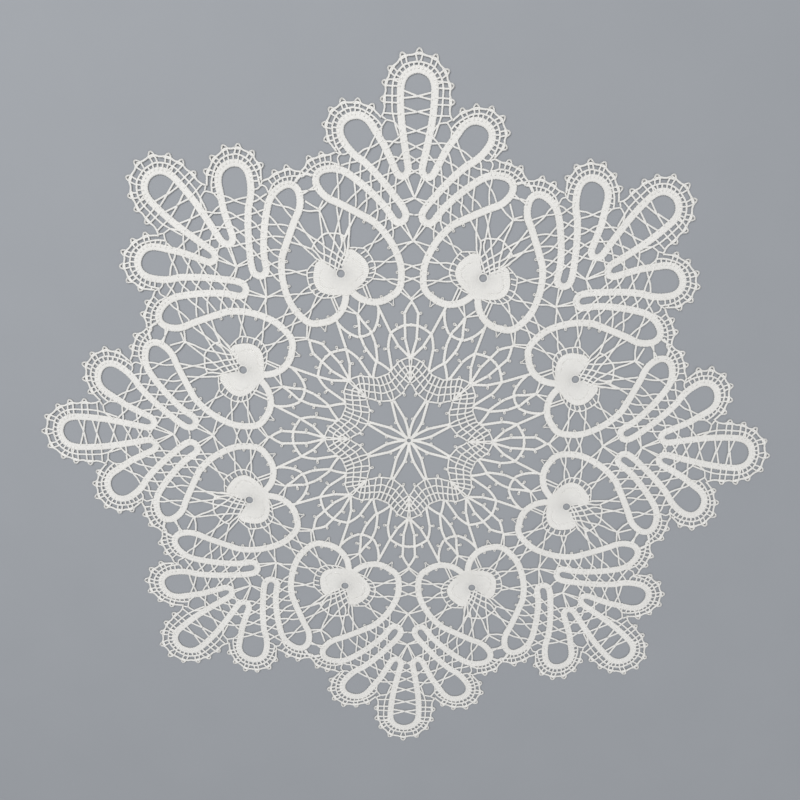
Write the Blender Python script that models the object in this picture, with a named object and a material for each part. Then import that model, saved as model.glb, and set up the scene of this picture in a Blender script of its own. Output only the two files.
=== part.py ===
"""Round bobbin lace table cloth, one flat piece with its larger gaps cut through.

Metres, +Z up.  The underside lies in the plane z = 0 and the axis of the eight
repeats is the Z axis.  Plan numbers in the tables are thousandths of the
radius, measured from the heart axis (first number, across) and from the
middle of the cloth (second number, out), for one half of one repeat.
"""
import math

import bmesh
import bpy
import numpy as np

RADIUS = 0.210
THICKNESS = 0.0012
REPEATS = 8
HALF_ANGLE = math.pi / REPEATS
UNIT = RADIUS / 1000.0

# Half widths of what is worked, thousandths of the radius.
TAPE_HALF = 8.3
PLAIT_HALF = 3.9
PAIR_HALF = 2.7
EDGE_HALF = 2.9
PICOT_HALF = 3.2
LEG_REACH = 6.0
PIVOT_RADIUS = 11.0
PIVOT_OUT = 487.6
CENTRE_RADIUS = 20.0

# What counts as a gap and how closely its edge is followed.
GAPS_PER_REPEAT = 37
SMALLEST_GAP = 0.0040
GRID_STEP = 1.5
GAP_TOLERANCE = 2.9
EDGE_TOLERANCE = 2.6
AXIS_SLACK = 3.0
AXIS_REACH = 56.0

# How far the hand-worked cloth strays from eight like repeats, thousandths of
# the radius at the rim: power of the radius, waves round the cloth, outward
# by cosine and sine, clockwise by cosine and sine.
UNEVEN = (
    (1, 0, -2.30, 0.0, -5.29, 0.0),
    (1, 1, -0.48, -1.81, 9.52, -0.16),
    (1, 2, 4.40, -7.45, -8.61, -2.93),
    (1, 3, -0.23, 1.04, 0.60, 1.73),
    (1, 4, -0.84, 0.55, -1.31, -0.73),
    (3, 0, 4.05, 0.0, 10.10, 0.0),
    (3, 1, 2.14, -7.14, -7.65, 0.77),
    (3, 2, -14.46, -1.56, 1.50, 0.52),
    (3, 3, 4.92, -1.89, 0.69, -9.94),
    (3, 4, 1.48, -1.08, 2.66, 3.15),
)

# The one tape, from the tip of the middle petal to the foot of the heart:
# section, end across, end out, bulge (share of the chord, to the right).
TAPE_START = (364.1, 879.1)
TAPE = (
    ("petal 1 tip", 307.7, 855.3, 0.210),
    ("petal 1 side", 275.2, 751.9, 0.025),
    ("petal 1 foot", 260.4, 676.9, 0.005),
    ("turn 1 in", 242.5, 656.5, -0.165),
    ("turn 1 out", 226.5, 676.0, -0.187),
    ("petal 2 rise", 221.5, 742.0, 0.007),
    ("petal 2 side", 209.0, 800.0, -0.004),
    ("petal 2 tip", 161.0, 837.5, 0.208),
    ("petal 2 cheek", 126.0, 800.0, 0.213),
    ("petal 2 back", 158.5, 726.0, 0.080),
    ("petal 2 fall", 202.0, 620.0, -0.025),
    ("petal 2 foot", 214.0, 575.0, -0.034),
    ("turn 2 in", 198.0, 554.5, -0.180),
    ("turn 2 out", 179.0, 570.0, -0.183),
    ("petal 3 rise", 164.5, 620.0, 0.033),
    ("petal 3 side", 111.0, 712.0, 0.027),
    ("petal 3 tip", 53.0, 742.5, 0.112),
    ("petal 3 cheek", 24.5, 716.0, 0.214),
    ("heart shoulder", 55.5, 660.0, 0.118),
    ("heart flank", 127.5, 580.0, -0.008),
    ("heart side", 156.0, 480.0, -0.064),
    ("heart belly", 142.5, 420.0, -0.067),
    ("heart lobe", 100.0, 388.5, -0.163),
    ("heart bottom", 40.0, 397.0, -0.117),
    ("heart cleft", 23.5, 410.0, -0.034),
    ("heart foot", 10.5, 430.0, -0.018),
    ("heart stem", 8.5, 455.0, -0.008),
)

# Pairs that cross between two runs of the tape: from across, from out,
# to across, to out, spread of the ends, where they cross (share of the way).
CROSSED = (
    (57, 675, 89, 723, 17, 0.55),
    (90, 648, 122, 681, 21, 0.48),
    (110, 626, 145, 653, 19, 0.48),
    (129, 599, 161, 618, 19, 0.50),
    (143, 572, 174, 585, 18, 0.48),
    (154, 541, 180, 558, 18, 0.45),
    (109, 733, 138, 746, 18, 0.46),
    (128, 706, 155, 721, 18, 0.50),
    (144, 676, 171, 690, 18, 0.50),
    (157, 642, 185, 658, 18, 0.50),
    (171, 607, 198, 622, 18, 0.50),
    (160, 744, 212, 766, 17, 0.55),
    (177, 706, 217, 727, 17, 0.52),
    (191, 675, 221, 690, 17, 0.50),
    (200, 641, 227, 659, 17, 0.50),
    (226, 744, 271, 744, 16, 0.48),
    (226, 704, 264, 704, 15, 0.53),
    (44, 551, 87, 616, 12, 0.62),
    (88, 479, 150, 477, 16, 0.50),
)

# Single pairs and pairs in twos: from across, from out, to across, to out.
PAIRS = (
    (211, 605, 248, 598.7),
    (214, 590, 248, 598.7),
    (235, 655, 248, 598.7),
    (246, 655, 248, 598.7),
    (212, 568, 236, 552),
    (192, 552, 207, 500),
    (203, 552, 207, 500),
    (158, 506, 207, 500),
    (158, 483, 187, 496),
    (187, 496, 207, 500),
    (158, 459, 182.5, 440.6),
    (155, 439, 182.5, 440.6),
    (146, 421, 167.6, 404.7),
    (142, 405, 167.6, 404.7),
    (126, 392, 148, 360),
    (136, 402, 150, 365),
    (0, 751, 24, 742),
    (0, 709, 24, 714),
    (0, 709, 24, 705),
    (0, 664, 30, 688),
    (0, 655, 36, 670),
    (0, 655, 12, 640),
    (12, 640, 8, 597),
    (0, 640, 8, 597),
    (8, 597, 17, 576),
    (17, 576, 35, 548),
    (0, 555, 17, 576),
    (17, 576, 46, 614),
    (0, 555, 12, 530),
    (46, 614, 66, 640),
    (36, 555, 37, 585),
    (37, 585, 46, 614),
    (46, 614, 54, 652),
    (82, 528, 134, 551),
    (88, 519, 140, 538),
    (84, 455, 136, 424),
    (79, 450, 126, 408),
    (41, 440, 41, 402),
    (50, 440, 50, 396),
    (18, 404, 0, 376),
    (32, 397, 0, 376),
    (50, 541, 82, 528),
    (82, 528, 90, 502),
    (90, 502, 94, 479),
    (94, 479, 86, 461),
    (86, 461, 70, 447),
    (70, 447, 38, 437),
)

# Pairs across the middle petal, from the fan axis: from across, from along,
# to across, to along.
PETAL_PAIRS = (
    (38, 898, 0, 891.5),
    (38, 885, 0, 891.5),
    (38, 862, 0, 855.5),
    (36, 847, 0, 855.5),
    (36, 823, 0, 811.5),
    (33, 803, 0, 811.5),
    (28, 786, 0, 775),
    (24, 765, 0, 775),
    (20, 753, 0, 742),
    (19, 732, 0, 742),
    (17, 721, 0, 712),
    (18, 704, 0, 712),
)

# Plaits: from across, from out, to across, to out, bulge.
PLAITS = (
    (4, 12, 11.5, 66, 0.04),
    (11.5, 66, 4, 124, -0.05),
    (24, 199, 1, 238, 0.0),
    (1, 240, 15.5, 290, -0.07),
    (15.5, 290, 15.5, 325, 0.0),
    (15.5, 325, 1, 372, -0.03),
    (0, 313.5, 21, 317, 0.0),
    (21, 317, 57, 368, 0.08),
    (58, 384, 64, 302, 0.0),
    (64, 302, 71, 258, 0.0),
    (71, 258, 88, 217, 0.0),
    (30, 202, 43, 262, 0.0),
    (43, 262, 65, 298, -0.04),
    (65, 298, 105, 304, -0.03),
    (105, 304, 123.5, 298.2, 0.0),
    (88, 217, 94.5, 268, 0.0),
    (94.5, 268, 118.5, 333, 0.0),
    (118.5, 333, 147, 355, -0.04),
    (147, 355, 150.4, 363, 0.0),
)

# Outer thread of the edging: section, end across, end out, bulge.
EDGING_START = (378.1, 912.8)
EDGING = (
    ("petal 1 tip", 330.5, 918.4, 0.06),
    ("petal 1 shoulder", 290.0, 894.9, 0.10),
    ("petal 1 cheek", 263.0, 854.4, 0.08),
    ("petal 1 flank", 247.7, 817.5, 0.00),
    ("valley 1", 240.0, 808.0, 0.00),
    ("petal 2 shoulder", 195.0, 860.0, 0.06),
    ("petal 2 tip", 125.0, 863.0, 0.14),
    ("petal 2 cheek", 94.0, 820.0, 0.10),
    ("petal 2 flank", 100.0, 771.0, 0.10),
    ("petal 3 side", 60.0, 779.0, 0.03),
    ("petal 3 tip", 25.0, 778.0, 0.04),
    ("valley 3", 0.0, 764.0, 0.00),
)

# Picots of the edging: foot across, foot out, tip across, tip out.
PICOTS = (
    (378.9, 914.6, 381.5, 921.5),
    (331.5, 917.5, 337.0, 928.5),
    (301.0, 903.0, 295.5, 907.5),
    (276.0, 877.0, 269.5, 880.5),
    (258.0, 846.0, 250.5, 847.0),
    (221.0, 839.0, 228.5, 842.5),
    (195.0, 860.0, 199.5, 868.0),
    (160.0, 871.0, 160.0, 882.0),
    (125.0, 863.0, 122.0, 872.0),
    (99.0, 838.0, 92.5, 843.5),
    (92.0, 806.0, 84.0, 806.5),
    (64.0, 779.0, 65.5, 786.0),
    (30.0, 778.0, 30.0, 786.0),
)

# Close work, filled whole: the corners of each area, across and out in turn.
FILLED = (
    ("edging 1", (364, 879, 330, 878, 308, 855, 290, 811, 280, 776, 266, 786, 247.5, 799,
                  240, 808, 247, 820, 263, 854, 290, 895, 330, 918, 382, 914)),
    ("edging 2", (240, 808, 247.5, 799, 229, 786, 222, 770, 214, 780, 199, 822, 161, 837,
                  131, 820, 128, 780, 136, 761, 119, 757, 108, 763, 100, 771, 92, 806,
                  99, 838, 125, 863, 160, 871, 195, 860, 221, 839)),
    ("edging 3", (100, 771, 108, 763, 98, 756, 97, 735, 89, 731, 53, 742, 29, 730,
                  12, 738, -2, 741, -2, 764, 25, 778, 60, 779)),
    ("tally", (-2, 512, 20, 523, 40, 533, 55, 541, 82, 528, 90, 502, 94, 479, 86, 461,
               70, 447, 38, 437, 20, 437, -2, 438)),
    ("net above", (-2, 512, 40, 533, 55, 540, 40, 550, 20, 545, -2, 536)),
    ("ring", (-2, 199, 24, 199, 31, 206, 46, 213, 52, 222, 58, 218, 92, 222, 100, 205,
              64, 150, 45, 141, 41, 125, 35, 124, 27, 130, 12, 127, 0, 121, -2, 121)),
)


def clear_scene():
    """Take everything out of the scene that the file starts with."""
    for item in list(bpy.data.objects):
        bpy.data.objects.remove(item, do_unlink=True)


def from_fan(across, along):
    """Turn a point given from the fan axis into one given from the heart axis."""
    c, s = math.cos(HALF_ANGLE), math.sin(HALF_ANGLE)
    return (s * along - c * across, c * along + s * across)


def bowed(start, end, bulge, pieces=8):
    """Points of a shallow bow from start to end, both included."""
    p = np.array(start, float)
    q = np.array(end, float)
    d = q - p
    side = np.array([d[1], -d[0]])
    t = np.linspace(0.0, 1.0, pieces + 1)[:, None]
    return p + d * t + side * (4.0 * bulge * t * (1.0 - t))


def chain(start, sections):
    """One run of points through the sections of a table, bow after bow."""
    points = [np.array([start], float)]
    at = start
    for name, across, out, bulge in sections:
        points.append(bowed(at, (across, out), bulge)[1:])
        at = (across, out)
    return np.concatenate(points)


def crossed(row):
    """The four legs of two pairs that cross between two runs of the tape."""
    x0, y0, x1, y1, spread, where = row
    a = np.array([x0, y0], float)
    b = np.array([x1, y1], float)
    d = (b - a) / np.hypot(*(b - a))
    side = np.array([d[1], -d[0]]) * spread / 2.0
    middle = a + (b - a) * where
    legs = []
    for end in (a + side, a - side, b + side, b - side):
        away = (end - middle) / np.hypot(*(end - middle))
        legs.append(np.array([end + away * LEG_REACH, middle]))
    return legs


def half_repeat():
    """Every run of thread in one half repeat as (points, half width)."""
    runs = [(chain(TAPE_START, TAPE), TAPE_HALF), (chain(EDGING_START, EDGING), EDGE_HALF)]
    for row in CROSSED:
        runs.extend((leg, PAIR_HALF) for leg in crossed(row))
    for x0, y0, x1, y1 in PAIRS:
        runs.append((np.array([(x0, y0), (x1, y1)], float), PAIR_HALF))
    for x0, y0, x1, y1 in PETAL_PAIRS:
        runs.append((np.array([from_fan(x0, y0), from_fan(x1, y1)]), PAIR_HALF))
    for x0, y0, x1, y1, bulge in PLAITS:
        runs.append((bowed((x0, y0), (x1, y1), bulge), PLAIT_HALF))
    for x0, y0, x1, y1 in PICOTS:
        runs.append((np.array([(x0, y0), (x1, y1)], float), PICOT_HALF))
    return runs


def turned(points, angle, mirror):
    """Plan points mirrored over the heart axis if asked, then turned clockwise."""
    x = -points[:, 0] if mirror else points[:, 0]
    y = points[:, 1]
    c, s = math.cos(angle), math.sin(angle)
    return np.stack([x * c + y * s, -x * s + y * c], axis=1)


def nearby(points):
    """The copies of a run that can reach the measured half repeat."""
    step = 2.0 * HALF_ANGLE
    out = [points, turned(points, 0.0, True), turned(points, step, True), turned(points, step, False)]
    if points[:, 1].min() < 260.0:
        out.extend(turned(points, k * step, m) for k in (-1, 2) for m in (False, True))
    return out


class Field:
    """Distance from the thread over the plan of one half repeat."""

    def __init__(self):
        self.x = np.arange(-60.0, 475.0, GRID_STEP)
        self.y = np.arange(-30.0, 1000.0, GRID_STEP)
        self.value = np.full((len(self.y), len(self.x)), 60.0)

    def window(self, points, reach):
        """Grid rows and columns around some points, with a margin."""
        low = points.min(axis=0) - reach
        high = points.max(axis=0) + reach
        i0, i1 = np.searchsorted(self.x, (low[0], high[0]))
        j0, j1 = np.searchsorted(self.y, (low[1], high[1]))
        return slice(j0, j1), slice(i0, i1)

    def distance(self, a, b, rows, cols):
        """Distance of the grid points in a window from one straight piece."""
        gx = self.x[cols][None, :] - a[0]
        gy = self.y[rows][:, None] - a[1]
        d = b - a
        t = np.clip((gx * d[0] + gy * d[1]) / max(float(d @ d), 1e-9), 0.0, 1.0)
        return np.hypot(gx - t * d[0], gy - t * d[1])

    def add_run(self, points, half):
        """Lay a run of thread of the given half width."""
        for a, b in zip(points[:-1], points[1:]):
            rows, cols = self.window(np.array([a, b]), half + 12.0)
            if rows.start < rows.stop and cols.start < cols.stop:
                near = self.distance(a, b, rows, cols) - half
                self.value[rows, cols] = np.minimum(self.value[rows, cols], near)

    def add_area(self, corners):
        """Fill a closed area."""
        rows, cols = self.window(corners, 8.0)
        if rows.start >= rows.stop or cols.start >= cols.stop:
            return
        gx = self.x[cols][None, :] + 0.0 * self.y[rows][:, None]
        gy = self.y[rows][:, None] + 0.0 * gx
        inside = np.zeros(gx.shape, bool)
        near = np.full(gx.shape, 60.0)
        for a, b in zip(corners, np.roll(corners, -1, axis=0)):
            near = np.minimum(near, self.distance(a, b, rows, cols))
            if a[1] != b[1]:
                crosses = (a[1] > gy) != (b[1] > gy)
                inside ^= crosses & (gx < a[0] + (gy - a[1]) * (b[0] - a[0]) / (b[1] - a[1]))
        signed = np.where(inside, -near, near)
        self.value[rows, cols] = np.minimum(self.value[rows, cols], signed)

    def open_hole(self, centre, radius):
        """Clear a round hole."""
        gx = self.x[None, :] - centre[0]
        gy = self.y[:, None] - centre[1]
        self.value = np.maximum(self.value, radius - np.hypot(gx, gy))

    def contours(self):
        """Closed and open lines where the field is zero."""
        v = self.value
        above = v > 0.0
        links = {}

        def between(j, i, axis):
            """The crossing on one grid edge, with a key that is unique to it."""
            a = v[j, i]
            b = v[j, i + 1] if axis == 0 else v[j + 1, i]
            t = a / (a - b)
            x = self.x[i] + (t * GRID_STEP if axis == 0 else 0.0)
            y = self.y[j] + (t * GRID_STEP if axis == 1 else 0.0)
            return (j, i, axis), (x, y)

        mixed = above[:-1, :-1].astype(int) + above[1:, :-1] + above[:-1, 1:] + above[1:, 1:]
        places = {}
        for j, i in np.argwhere((mixed > 0) & (mixed < 4)):
            corner = (above[j, i], above[j, i + 1], above[j + 1, i + 1], above[j + 1, i])
            edges = ((j, i, 0), (j, i + 1, 1), (j + 1, i, 0), (j, i, 1))
            hit = [n for n in range(4) if corner[n] != corner[(n + 1) % 4]]
            if len(hit) == 4:
                hit = [0, 1, 2, 3] if corner[0] else [1, 2, 3, 0]
            for n in range(0, len(hit), 2):
                ends = []
                for k in (hit[n], hit[n + 1]):
                    key, place = between(*edges[k])
                    places[key] = place
                    ends.append(key)
                links.setdefault(ends[0], []).append(ends[1])
                links.setdefault(ends[1], []).append(ends[0])
        lines = []
        unused = dict.fromkeys(sorted(links, key=lambda k: (len(links[k]) != 1, k)))
        while unused:
            start = next(iter(unused))
            del unused[start]
            line = [start]
            while True:
                step = [k for k in links[line[-1]] if k in unused]
                if not step:
                    break
                line.append(step[0])
                del unused[step[0]]
            closed = len(line) > 2 and line[0] in links[line[-1]]
            lines.append((np.array([places[k] for k in line]), closed))
        return lines


def simplified(points, tolerance):
    """Fewer points that keep an open line within the tolerance."""
    if len(points) < 3:
        return points
    a, b = points[0], points[-1]
    d = b - a
    length = math.hypot(*d)
    rel = points - a
    if length < 1e-9:
        off = np.hypot(rel[:, 0], rel[:, 1])
    else:
        off = np.abs(rel[:, 0] * d[1] - rel[:, 1] * d[0]) / length
    far = int(off.argmax())
    if off[far] <= tolerance:
        return np.array([a, b])
    left = simplified(points[:far + 1], tolerance)
    right = simplified(points[far:], tolerance)
    return np.concatenate([left[:-1], right])


def simplified_loop(points, tolerance):
    """Fewer points on a closed line."""
    centre = points.mean(axis=0)
    first = int(np.hypot(*(points - centre).T).argmax())
    points = np.roll(points, -first, axis=0)
    other = int(np.hypot(*(points - points[0]).T).argmax())
    one = simplified(points[:other + 1], tolerance)
    two = simplified(np.concatenate([points[other:], points[:1]]), tolerance)
    return np.concatenate([one[:-1], two[:-1]])


def area(points):
    """Signed area of a closed line."""
    x, y = points[:, 0], points[:, 1]
    return 0.5 * float(np.sum(x * np.roll(y, -1) - np.roll(x, -1) * y))


def narrowest(points):
    """Smallest caliper width of a closed line."""
    best = 1e9
    for k in range(18):
        a = math.pi * k / 18.0
        span = points @ np.array([math.cos(a), math.sin(a)])
        best = min(best, float(span.max() - span.min()))
    return best


def build_field():
    """The field of one half repeat with all that reaches into it."""
    field = Field()
    for points, half in half_repeat():
        for copy in nearby(points):
            field.add_run(copy, half)
    for name, flat in FILLED:
        corners = np.array(flat, float).reshape(-1, 2)
        for copy in nearby(corners):
            field.add_area(copy)
    disc = np.array([(math.sin(a), math.cos(a)) for a in np.linspace(0.0, 2.0 * math.pi, 25)[:-1]])
    field.add_area(disc * CENTRE_RADIUS)
    field.open_hole((0.0, PIVOT_OUT), PIVOT_RADIUS)
    return field


def gaps_and_edge(field):
    """The gaps of one half repeat, those on an axis apart, and its outer edge."""
    off_axis, on_axis, edge = [], [], None
    across_fan = np.array([math.cos(HALF_ANGLE), -math.sin(HALF_ANGLE)])
    for points, closed in field.contours():
        if closed:
            size = abs(area(points))
            if narrowest(points) * UNIT < SMALLEST_GAP:
                continue
            across = points[:, 0]
            beyond = points @ across_fan
            if min(abs(across.max() + across.min()), abs(beyond.max() + beyond.min())) < AXIS_SLACK:
                if points[:, 1].mean() > 0.0 and across.min() > -AXIS_REACH and beyond.max() < AXIS_REACH:
                    on_axis.append((size, points))
            elif across.min() > 0.0 and beyond.max() < 0.0:
                off_axis.append((size, points))
        elif np.hypot(*points.T).max() > 900.0:
            edge = points
    return off_axis, on_axis, edge


def chosen(off_axis, on_axis):
    """The largest gaps of a repeat, a mirrored one counting twice."""
    rows = [(size, 2, points) for size, points in off_axis]
    rows += [(size, 1, points) for size, points in on_axis]
    rows.sort(key=lambda row: -row[0])
    out, count = [], 0
    for size, copies, points in rows:
        if count + copies <= GAPS_PER_REPEAT:
            out.append((copies, points))
            count += copies
    return out


def outer_half(edge):
    """The outer edge from the fan axis to the heart axis, ends on the axes."""
    angle = np.arctan2(edge[:, 0], edge[:, 1])
    keep = edge[(angle > 0.004) & (angle < HALF_ANGLE - 0.002)]
    if math.atan2(keep[0][0], keep[0][1]) < math.atan2(keep[-1][0], keep[-1][1]):
        keep = keep[::-1]
    fan = np.array([math.sin(HALF_ANGLE), math.cos(HALF_ANGLE)])
    first = fan * float(keep[0] @ fan)
    last = np.array([0.0, keep[-1][1]])
    return simplified(np.concatenate([[first], keep, [last]]), EDGE_TOLERANCE)


def strayed(points):
    """Plan points of the whole cloth moved to where the hand work put them."""
    x, y = points[:, 0], points[:, 1]
    r = np.hypot(x, y)
    turn = np.arctan2(x, y)
    outward = np.zeros(len(points))
    around = np.zeros(len(points))
    for power, waves, out_cos, out_sin, round_cos, round_sin in UNEVEN:
        grown = (r / 1000.0) ** power
        outward += grown * (out_cos * np.cos(waves * turn) + out_sin * np.sin(waves * turn))
        around += grown * (round_cos * np.cos(waves * turn) + round_sin * np.sin(waves * turn))
    far = r + outward
    turn = turn + around / np.maximum(r, 1.0)
    return np.stack([far * np.sin(turn), far * np.cos(turn)], axis=1)


def all_round(field):
    """The closed outline and every gap of the whole cloth, in metres."""
    off_axis, on_axis, edge = gaps_and_edge(field)
    half = outer_half(edge)
    outline = []
    for k in range(REPEATS):
        turn = (2.0 * k + 1.0) * HALF_ANGLE
        outline.append(turned(half, turn, True)[:-1])
        outline.append(turned(half, turn, False)[::-1][:-1])
    gaps = []
    for copies, points in chosen(off_axis, on_axis):
        loop = simplified_loop(points, GAP_TOLERANCE)
        for k in range(REPEATS):
            turn = (2.0 * k + 1.0) * HALF_ANGLE
            gaps.append(strayed(turned(loop, turn, False)))
            if copies == 2:
                gaps.append(strayed(turned(loop, turn, True)))
    rim = strayed(np.concatenate(outline))
    centre = (rim.min(axis=0) + rim.max(axis=0)) / 2.0
    print("centre of the box before it is moved to the origin", centre.round(3))
    return (rim - centre) * UNIT, [(gap - centre) * UNIT for gap in gaps]


def add_loop(curve, points):
    """One closed straight-sided spline."""
    spline = curve.splines.new("POLY")
    spline.points.add(len(points) - 1)
    for place, (x, y) in zip(spline.points, points):
        place.co = (x, y, THICKNESS / 2.0, 1.0)
    spline.use_cyclic_u = True


def linen():
    """Off-white linen thread."""
    material = bpy.data.materials.new("linen")
    material.use_nodes = True
    shader = material.node_tree.nodes["Principled BSDF"]
    shader.inputs["Base Color"].default_value = (0.78, 0.76, 0.70, 1.0)
    shader.inputs["Roughness"].default_value = 0.85
    return material


def build_lace():
    """The whole cloth as one flat solid."""
    outline, gaps = all_round(build_field())
    curve = bpy.data.curves.new("lace", "CURVE")
    curve.dimensions = "2D"
    curve.fill_mode = "BOTH"
    curve.extrude = THICKNESS / 2.0
    add_loop(curve, outline)
    for gap in gaps:
        add_loop(curve, gap)
    shape = bpy.data.objects.new("lace_outline", curve)
    bpy.context.collection.objects.link(shape)
    bpy.context.view_layer.update()
    mesh = bpy.data.meshes.new_from_object(shape.evaluated_get(bpy.context.evaluated_depsgraph_get()))
    bpy.data.objects.remove(shape, do_unlink=True)
    mesh.name = "lace"
    work = bmesh.new()
    work.from_mesh(mesh)
    bmesh.ops.remove_doubles(work, verts=work.verts, dist=1e-6)
    bmesh.ops.triangulate(work, faces=work.faces)
    lowest = min(v.co.z for v in work.verts)
    bmesh.ops.translate(work, verts=work.verts, vec=(0.0, 0.0, -lowest))
    bmesh.ops.recalc_face_normals(work, faces=work.faces)
    work.to_mesh(mesh)
    work.free()
    lace = bpy.data.objects.new("lace", mesh)
    lace.data.materials.clear()
    lace.data.materials.append(linen())
    bpy.context.collection.objects.link(lace)
    return lace, len(outline), gaps


def main():
    """Build the cloth and say how large it came out."""
    clear_scene()
    lace, corners, gaps = build_lace()
    points = corners + sum(len(g) for g in gaps)
    print("gaps", len(gaps), "points", points, "triangles", len(lace.data.polygons))
    print("size", tuple(round(v, 5) for v in lace.dimensions))


main()
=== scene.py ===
"""Round bobbin lace table cloth, dressed thread by thread around its flat solid.

Metres, +Z up.  The cloth lies on the plane z = 0 and its eight repeats stand
round the Z axis.  Plan numbers in the tables are thousandths of the radius for
one half of one repeat: across from the heart axis, then out from the middle.
Rows marked as from the fan give across and along from the axis of the middle
petal instead.
"""

import logging
import math
from dataclasses import dataclass, field
from enum import Enum

import bpy
import numpy as np
from mathutils import Matrix


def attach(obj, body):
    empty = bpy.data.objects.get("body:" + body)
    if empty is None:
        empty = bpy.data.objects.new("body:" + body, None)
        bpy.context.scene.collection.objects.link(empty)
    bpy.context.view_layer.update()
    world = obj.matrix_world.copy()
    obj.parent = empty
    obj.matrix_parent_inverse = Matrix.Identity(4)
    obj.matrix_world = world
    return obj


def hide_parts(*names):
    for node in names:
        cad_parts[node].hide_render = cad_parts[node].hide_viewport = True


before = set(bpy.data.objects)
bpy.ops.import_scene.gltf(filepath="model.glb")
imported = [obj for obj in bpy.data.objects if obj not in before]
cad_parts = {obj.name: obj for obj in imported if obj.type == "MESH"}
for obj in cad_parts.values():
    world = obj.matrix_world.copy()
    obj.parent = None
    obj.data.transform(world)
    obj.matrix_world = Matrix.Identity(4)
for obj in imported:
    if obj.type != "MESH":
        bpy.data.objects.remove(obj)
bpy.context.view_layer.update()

LOG = logging.getLogger("lace")

RADIUS = 0.210
REPEATS = 8
HALF_ANGLE = math.pi / REPEATS
UNIT = RADIUS / 1000.0
BOX_MIDDLE = (-8.19, 6.374)
MILLI = 0.001
SEED = 811
TINY = 1e-9
RING_STEP = 15.0
FLANK_SPREAD = 0.35 * MILLI

# How far the hand-worked cloth bends away from eight like repeats, thousandths of
# the radius at the rim: power of the radius, waves round the cloth, outward
# by cosine and sine, clockwise by cosine and sine.
UNEVEN = (
    (1, 0, -2.30, 0.0, -5.29, 0.0),
    (1, 1, -0.48, -1.81, 9.52, -0.16),
    (1, 2, 4.40, -7.45, -8.61, -2.93),
    (1, 3, -0.23, 1.04, 0.60, 1.73),
    (1, 4, -0.84, 0.55, -1.31, -0.73),
    (3, 0, 4.05, 0.0, 10.10, 0.0),
    (3, 1, 2.14, -7.14, -7.65, 0.77),
    (3, 2, -14.46, -1.56, 1.50, 0.52),
    (3, 3, 4.92, -1.89, 0.69, -9.94),
    (3, 4, 1.48, -1.08, 2.66, 3.15),
)

# The one tape, from the tip of the middle petal to the foot of the heart:
# section, end across, end out, bulge (share of the chord, to the right).
TAPE_START = (364.1, 879.1)
TAPE = (
    ("petal 1 tip", 307.7, 855.3, 0.210),
    ("petal 1 side", 275.2, 751.9, 0.025),
    ("petal 1 foot", 260.4, 676.9, 0.005),
    ("turn 1 in", 242.5, 656.5, -0.165),
    ("turn 1 out", 226.5, 676.0, -0.187),
    ("petal 2 rise", 221.5, 742.0, 0.007),
    ("petal 2 side", 209.0, 800.0, -0.004),
    ("petal 2 tip", 161.0, 836.5, 0.192),
    ("petal 2 cheek", 126.0, 800.0, 0.213),
    ("petal 2 back", 158.5, 726.0, 0.080),
    ("petal 2 fall", 202.0, 620.0, -0.025),
    ("petal 2 foot", 214.0, 575.0, -0.034),
    ("turn 2 in", 198.0, 554.5, -0.180),
    ("turn 2 out", 177.6, 570.0, -0.190),
    ("petal 3 rise", 163.2, 620.0, 0.033),
    ("petal 3 side", 111.0, 712.0, 0.027),
    ("petal 3 tip", 53.0, 742.5, 0.112),
    ("petal 3 cheek", 24.5, 716.0, 0.214),
    ("heart shoulder", 55.5, 660.0, 0.118),
    ("heart flank", 128.8, 580.5, -0.008),
    ("heart side", 156.0, 480.0, -0.064),
    ("heart belly", 142.5, 420.0, -0.067),
    ("heart lobe", 100.0, 387.4, -0.163),
    ("heart bottom", 40.0, 396.2, -0.117),
    ("heart cleft", 23.5, 410.0, -0.034),
    ("heart foot", 10.5, 430.0, -0.018),
    ("heart stem", 8.5, 455.0, -0.008),
)

# Pairs that cross between two runs of the tape: from across, from out,
# to across, to out, spread of the ends, where they cross (share of the way).
CROSSED = (
    (59, 672, 93, 719, 17, 0.55),
    (93, 643, 125, 677, 20, 0.50),
    (113, 620, 146, 649, 18, 0.58),
    (132, 591, 161, 614, 18, 0.60),
    (145, 565, 174, 582, 17, 0.60),
    (155, 535, 180, 556, 17, 0.58),
    (110, 728, 138, 740, 18, 0.46),
    (130, 697, 156, 715, 18, 0.50),
    (146, 666, 172, 684, 18, 0.52),
    (160, 632, 186, 652, 17, 0.54),
    (173, 599, 198, 618, 17, 0.54),
    (160, 740, 212, 763, 17, 0.55),
    (177, 702, 217, 724, 17, 0.52),
    (191, 667, 221, 685, 17, 0.50),
    (202, 635, 227, 655, 16, 0.52),
    (226, 743, 271, 743, 16, 0.48),
    (226, 703, 264, 703, 15, 0.53),
    (86, 523, 137, 544, 13, 0.42),
    (89, 479, 150, 475, 17, 0.50),
    (80, 452, 131, 415, 13, 0.45),
)

# Single pairs and pairs in twos: from across, from out, to across, to out.
PAIRS = (
    (211, 605, 248, 598.7),
    (214, 595, 248, 598.7),
    (242.5, 654, 248, 598.7),
    (251, 653, 248, 598.7),
    (213, 571, 231, 559),
    (192, 552, 207, 500),
    (203, 552, 207, 500),
    (158, 506, 207, 500),
    (158, 483, 187, 496),
    (187, 496, 207, 500),
    (158, 459, 182.5, 440.6),
    (155, 439, 182.5, 440.6),
    (150, 427, 171, 411),
    (143, 409, 171, 411),
    (129, 391, 148, 362),
    (136, 399, 150, 366),
    (0, 751, 24, 742),
    (0, 709, 24, 714),
    (0, 709, 24, 705),
    (41, 440, 41, 402),
    (50, 440, 50, 396),
    (18, 404, 0, 376),
    (32, 397, 0, 376),
)

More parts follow.
